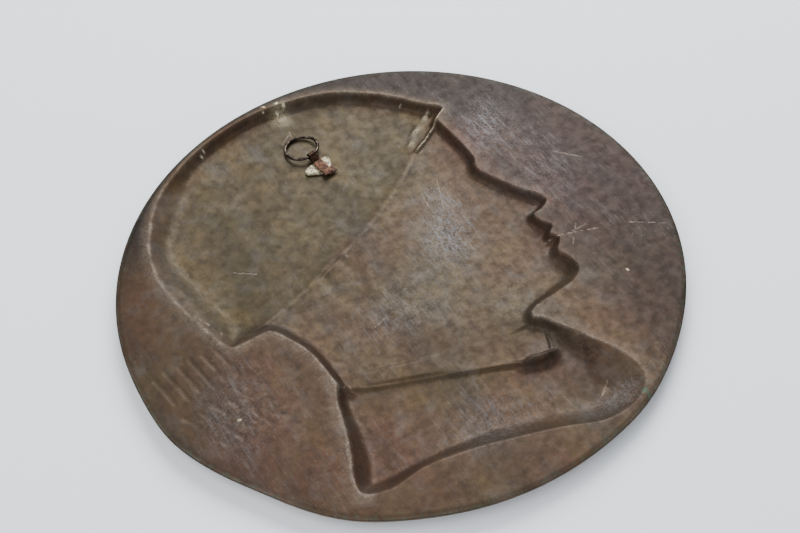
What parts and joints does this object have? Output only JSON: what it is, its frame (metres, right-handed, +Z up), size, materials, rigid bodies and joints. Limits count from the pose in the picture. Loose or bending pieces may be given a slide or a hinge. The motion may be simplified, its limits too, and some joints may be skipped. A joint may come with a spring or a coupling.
{
  "type": "relief plaque",
  "caption": "Round cast bronze wall plaque with a low-relief profile bust in a soft cap, hollow behind, with a wire hanging ring.",
  "frame": {"origin": "where the nail bears on the top of the hanging ring, at the middle of the wire", "axes": "+Z up as the plaque hangs, +Y towards the wall and out of the hollow back, -Y out of the relief"},
  "size_m": [0.2806, 0.0095, 0.28],
  "materials": {
    "cast_bronze": "cast bronze with a worn reddish-brown patina, satin, scuffed bright on its edges",
    "copper_strip": "cut and folded copper strip, dull pink",
    "soft_solder": "lumpy soft solder, dull white where it has oxidised",
    "darkened_wire": "drawn wire, darkened, worn brighter on its crest"
  },
  "bodies": {
    "plaque": {"plaque": "cast_bronze", "hanger_strap": "copper_strip", "solder": "soft_solder"},
    "ring": {"hanging_ring": "darkened_wire"}
  },
  "joints": [
    {"name": "ring_swing", "type": "hinge", "parent": "plaque", "child": "ring", "pos_m": [-0.00161, 0.00185, -0.01665], "axis": [-0.9833, 0, 0.1822], "range_deg": [0, 165]}
  ]
}
